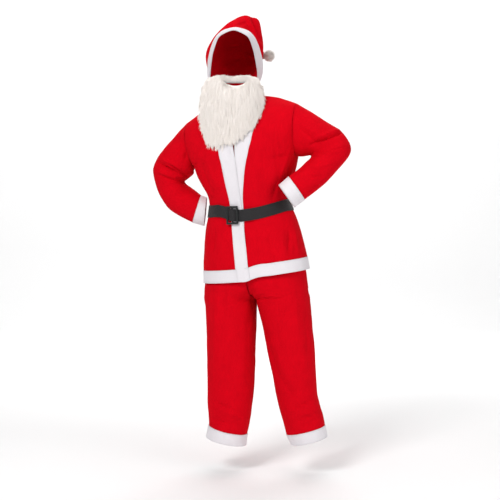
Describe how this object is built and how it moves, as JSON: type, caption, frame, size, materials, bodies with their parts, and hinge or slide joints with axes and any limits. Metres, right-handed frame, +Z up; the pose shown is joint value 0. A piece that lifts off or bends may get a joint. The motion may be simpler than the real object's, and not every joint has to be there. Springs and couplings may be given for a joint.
{
  "type": "santa suit",
  "caption": "Child's red and white santa costume as worn: belted jacket, trousers, floppy hat and beard, hollow, hands on hips.",
  "frame": {"origin": "centre of the neck opening, where the wearer's neck and shoulders carry the suit", "axes": "+Z up, front towards -Y, wearer's left towards +X; the chest is turned 17 degrees to the wearer's right"},
  "size_m": [0.5726, 0.2929, 1.2465],
  "materials": {
    "red_fleece": "matte",
    "white_plush": "matte",
    "beard_pile": "matte",
    "white_elastic": "matte",
    "charcoal_webbing": "matte",
    "black_plastic": "satin"
  },
  "bodies": {
    "root": {"jacket_back": "red_fleece", "jacket_front_left": "red_fleece", "jacket_front_right": "red_fleece", "sleeve_left": "red_fleece", "sleeve_right": "red_fleece", "trouser_front_left": "red_fleece", "trouser_back_left": "red_fleece", "trouser_front_right": "red_fleece", "trouser_back_right": "red_fleece", "waistband": "red_fleece", "hat_crown": "red_fleece", "front_band_left": "white_plush", "front_band_right": "white_plush", "hem_band": "white_plush", "cuff_left": "white_plush", "cuff_right": "white_plush", "leg_band_left": "white_plush", "leg_band_right": "white_plush", "hat_trim": "white_plush", "hat_pompom": "white_plush", "beard": "beard_pile", "beard_elastic": "white_elastic", "belt_strap": "charcoal_webbing", "buckle": "black_plastic"}
  },
  "joints": []
}
